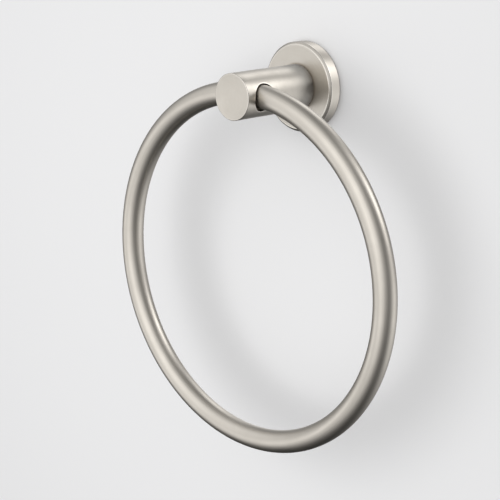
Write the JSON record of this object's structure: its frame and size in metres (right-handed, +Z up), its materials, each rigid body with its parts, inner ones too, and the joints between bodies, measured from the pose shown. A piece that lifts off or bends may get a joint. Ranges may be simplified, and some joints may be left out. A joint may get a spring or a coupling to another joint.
{
  "type": "towel ring",
  "caption": "Wall-hung towel ring: a round bar bent to a full ring, held in a turned post on a round rose that hides its wall bracket and screws",
  "frame": {"origin": "centre of the rose's back, on the wall's surface", "axes": "+X to the right along the wall, +Y into the wall, +Z up; the post points along -Y"},
  "size_m": [0.197, 0.055, 0.2139],
  "materials": {
    "satin_nickel": "brass with satin nickel plating, finely brushed",
    "zinc_plate": "zinc-plated steel, turned",
    "stainless_screw": "stainless steel"
  },
  "bodies": {
    "root": {"rose_cover": "satin_nickel", "post": "satin_nickel", "ring": "satin_nickel", "wall_bracket": "zinc_plate", "rose_grub_screw": "stainless_screw", "post_screw": "stainless_screw", "post_spring_washer": "stainless_screw", "ring_joiner": "stainless_screw", "ring_grub_screw": "stainless_screw"}
  },
  "joints": []
}
